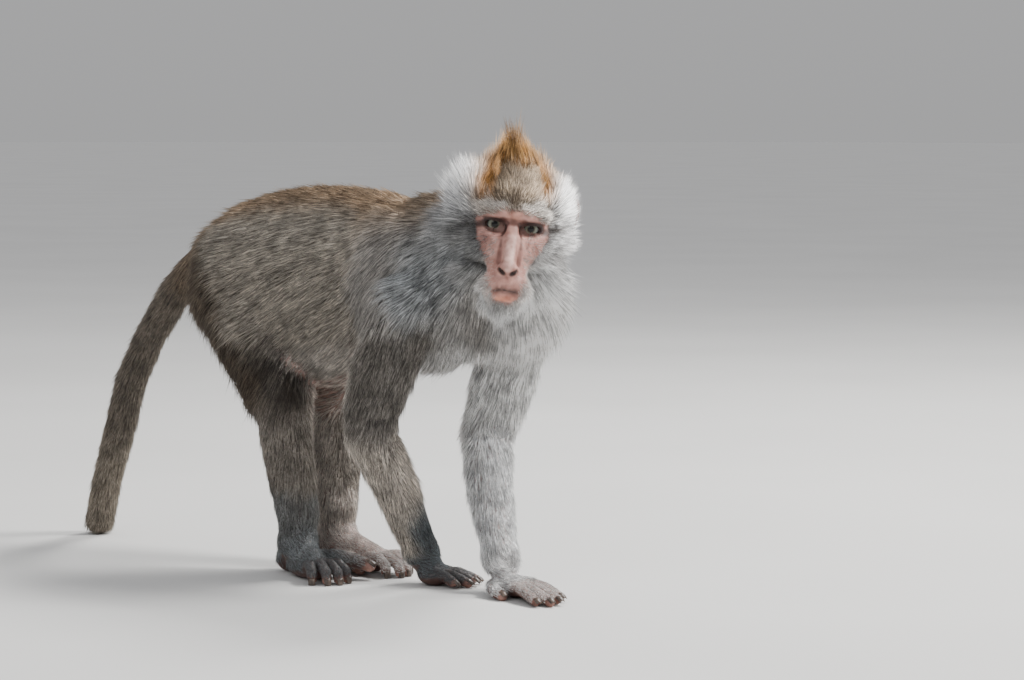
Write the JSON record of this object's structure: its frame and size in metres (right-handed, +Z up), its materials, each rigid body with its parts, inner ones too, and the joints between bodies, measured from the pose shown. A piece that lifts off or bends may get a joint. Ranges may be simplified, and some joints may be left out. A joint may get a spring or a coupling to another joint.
{
  "type": "long-tailed macaque",
  "caption": "Life-size standing long-tailed macaque in mid walk, head turned to its right, tail down to the floor; a still museum-type model.",
  "frame": {"origin": "bottom centre of the model's bounding box, on the floor", "axes": "+Z up; the trunk lies along Y and the animal faces -Y; +X is the animal's left side"},
  "size_m": [0.1608, 0.6214, 0.3948],
  "materials": {
    "head": "bare skin and short fur",
    "neck": "grey-brown fur",
    "trunk": "grey-brown agouti fur",
    "tail_root": "short grey-brown fur",
    "tail_middle": "short grey-brown fur",
    "tail_end": "short grey-brown fur",
    "ear_r": "thin bare skin",
    "ear_l": "thin bare skin",
    "eye_r": "wet glossy eyeball",
    "eye_l": "wet glossy eyeball",
    "upper_arm_r": "grey fur",
    "upper_arm_l": "grey fur",
    "forearm_r": "pale grey fur",
    "forearm_l": "pale grey fur",
    "hand_r": "dark bare skin and short hair",
    "hand_l": "dark bare skin and short hair",
    "thigh_r": "grey-brown fur",
    "thigh_l": "grey-brown fur",
    "shank_r": "grey fur",
    "shank_l": "grey fur",
    "foot_r": "dark bare skin and short hair",
    "foot_l": "dark bare skin and short hair"
  },
  "bodies": {
    "root": {"head": "head", "neck": "neck", "trunk": "trunk", "tail_root": "tail_root", "tail_middle": "tail_middle", "tail_end": "tail_end", "ear_r": "ear_r", "ear_l": "ear_l", "eye_r": "eye_r", "eye_l": "eye_l", "upper_arm_r": "upper_arm_r", "upper_arm_l": "upper_arm_l", "forearm_r": "forearm_r", "forearm_l": "forearm_l", "hand_r": "hand_r", "hand_l": "hand_l", "thigh_r": "thigh_r", "thigh_l": "thigh_l", "shank_r": "shank_r", "shank_l": "shank_l", "foot_r": "foot_r", "foot_l": "foot_l"}
  },
  "joints": []
}
